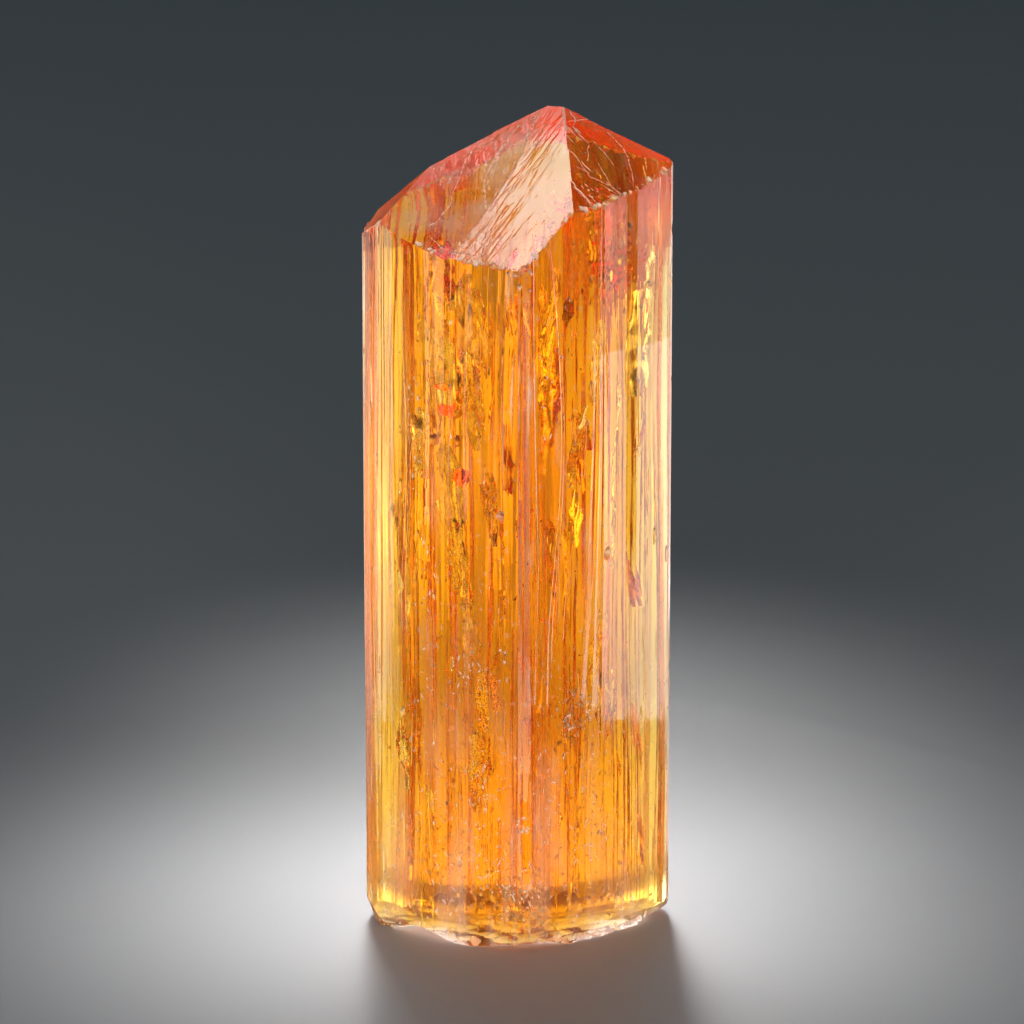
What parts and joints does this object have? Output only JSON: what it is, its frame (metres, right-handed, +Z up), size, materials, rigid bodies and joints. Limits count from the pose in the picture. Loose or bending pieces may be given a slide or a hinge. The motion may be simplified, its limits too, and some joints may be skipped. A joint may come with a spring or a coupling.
{
  "type": "topaz crystal",
  "caption": "Terminated orange topaz crystal with a striated prism, a stepped pyramidal top and a broken base on which it stands upright.",
  "frame": {"origin": "on the resting plane under the middle of the crystal's box", "axes": "+Z up along the prism, the crystal's c axis; X along the b axis, which is the wide way; Y along the a axis, with -Y towards the sharp front edge"},
  "size_m": [0.0166, 0.0132, 0.0448],
  "materials": {
    "topaz": "natural vitreous crystal faces, striated along the length, with internal veils and a fractured base"
  },
  "bodies": {
    "root": {"topaz_crystal": "topaz"}
  },
  "joints": []
}
